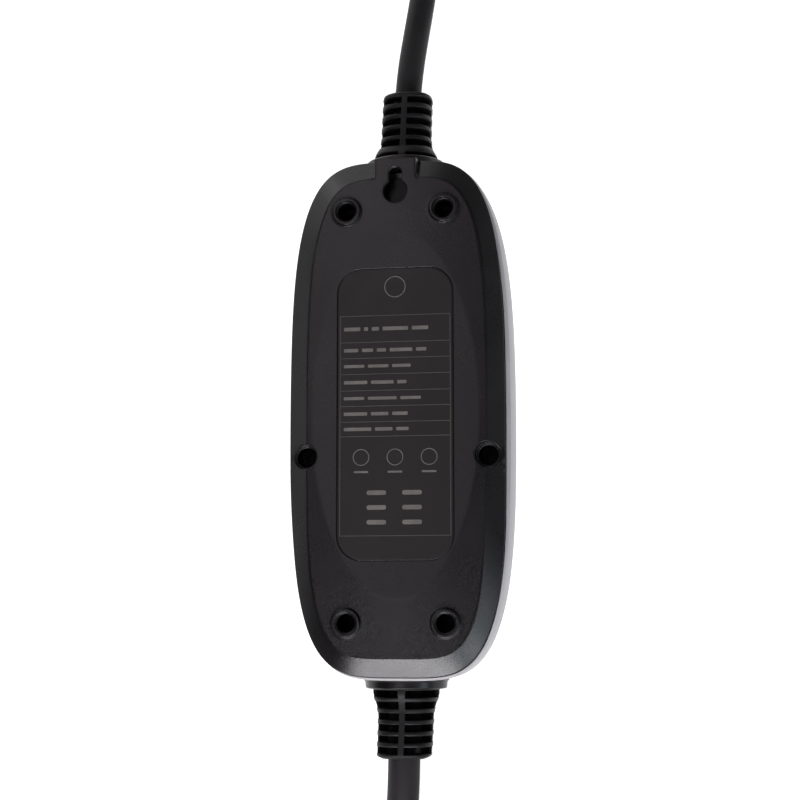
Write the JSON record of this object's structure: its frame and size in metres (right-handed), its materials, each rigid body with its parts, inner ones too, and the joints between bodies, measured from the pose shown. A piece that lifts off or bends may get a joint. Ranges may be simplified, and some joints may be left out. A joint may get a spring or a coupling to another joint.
{
  "type": "portable vehicle charger",
  "caption": "In-cable control box of a portable vehicle charger: rounded two-part case with screwed back cover, keyhole, ribbed boots, mains lead with plug and vehicle lead with connector.",
  "frame": {"origin": "on the floor under the middle of the control box, in the plane of its flat front face", "axes": "+Z out of the back cover, +Y along the box to the mains end with the keyhole, +X to the right when looking at the back with the mains end up"},
  "size_m": [0.1538, 0.7418, 0.1015],
  "materials": {
    "housing_grey": "fine matte light grey",
    "cover_black": "fine spark-eroded texture",
    "seal_rubber": "smooth",
    "screw_steel": "blackened",
    "label_film": "satin film",
    "panel_film": "smooth film",
    "clear_plastic": "clear",
    "board_green": "solder resist",
    "relay_blue": "moulded",
    "part_dark": "moulded",
    "capacitor_yellow": "moulded",
    "fuse_ceramic": "ceramic",
    "terminal_green": "moulded",
    "wire_sleeve": "extruded",
    "clamp_grey": "moulded",
    "boot_rubber": "satin",
    "cord_jacket": "satin extruded",
    "plug_black": "satin",
    "contact_metal": "nickel plated",
    "connector_black": "satin",
    "nose_grey": "satin"
  },
  "bodies": {
    "root": {"front_housing": "housing_grey", "back_cover": "cover_black", "housing_seal": "seal_rubber", "cover_screws": "screw_steel", "rating_label": "label_film", "front_panel": "panel_film", "light_guides": "clear_plastic", "main_board": "board_green", "board_screws": "screw_steel", "line_relay": "relay_blue", "neutral_relay": "relay_blue", "leakage_sensor": "part_dark", "supply_module": "part_dark", "filter_capacitor": "capacitor_yellow", "surge_varistor": "relay_blue", "input_fuse": "fuse_ceramic", "controller_chip": "part_dark", "status_leds": "clear_plastic", "input_terminals": "terminal_green", "output_terminals": "terminal_green", "mains_wires": "wire_sleeve", "vehicle_wires": "wire_sleeve", "mains_gland": "cover_black", "vehicle_gland": "cover_black", "gland_nuts": "cover_black", "mains_clamp": "clamp_grey", "vehicle_clamp": "clamp_grey", "clamp_screws": "screw_steel", "mains_boot": "boot_rubber", "vehicle_boot": "boot_rubber", "mains_cord_inner": "cord_jacket", "vehicle_cord_inner": "cord_jacket", "mains_cord": "cord_jacket", "plug_body": "plug_black", "plug_cord_inner": "cord_jacket", "plug_pins": "contact_metal", "plug_earth_strips": "contact_metal", "vehicle_cord_lead": "cord_jacket", "vehicle_cord_hank": "cord_jacket", "vehicle_cord_tail": "cord_jacket", "connector_shell_left": "connector_black", "connector_shell_right": "connector_black", "connector_nose": "nose_grey", "connector_contacts": "contact_metal", "connector_boot": "boot_rubber", "connector_cord_inner": "cord_jacket", "connector_wires": "wire_sleeve", "connector_screws": "screw_steel"}
  },
  "joints": []
}
